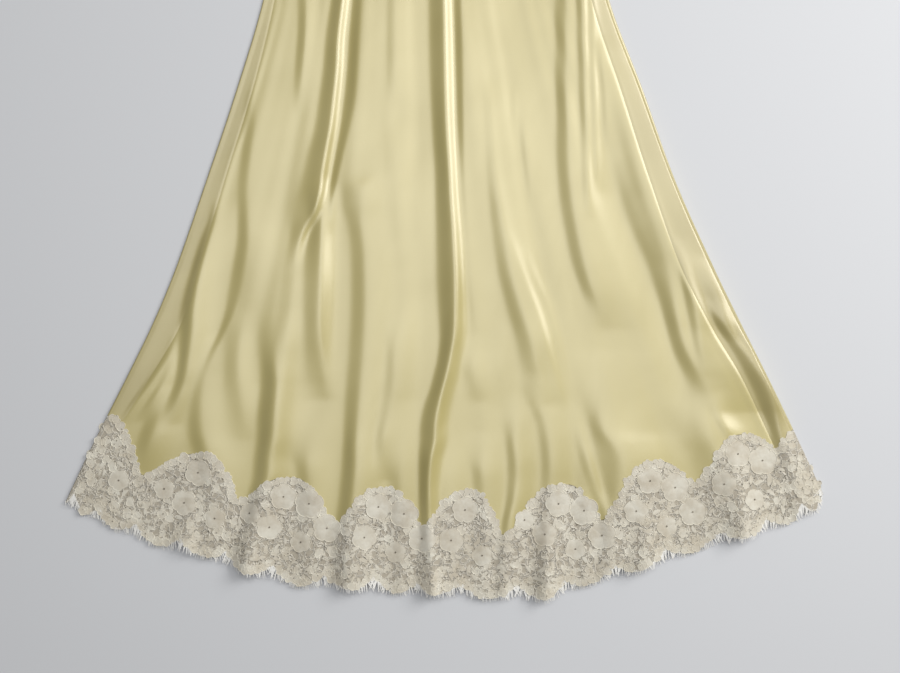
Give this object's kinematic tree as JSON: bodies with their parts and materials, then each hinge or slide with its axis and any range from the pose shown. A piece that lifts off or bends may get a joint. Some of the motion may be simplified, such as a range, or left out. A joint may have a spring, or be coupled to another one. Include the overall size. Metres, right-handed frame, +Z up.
{
  "type": "maxi dress",
  "caption": "Slip maxi dress of bias-cut satin with thin straps and a deep scalloped floral lace hem, laid flat and face up.",
  "frame": {"origin": "middle of the footprint on the surface that the dress lies on", "axes": "+X across the dress to the right as seen from above, +Y from the hem to the straps, +Z up from the surface"},
  "size_m": [0.9863, 1.3997, 0.0188],
  "materials": {
    "satin": "pale butter-yellow satin, smooth and lustrous, with soft long folds",
    "lace": "matt ecru corded floral lace on a fine net ground with a fringed scalloped edge"
  },
  "bodies": {
    "root": {"front_panel": "satin", "back_panel": "satin", "lace_front": "lace", "lace_back": "lace", "strap_left": "satin", "strap_right": "satin"}
  },
  "joints": []
}
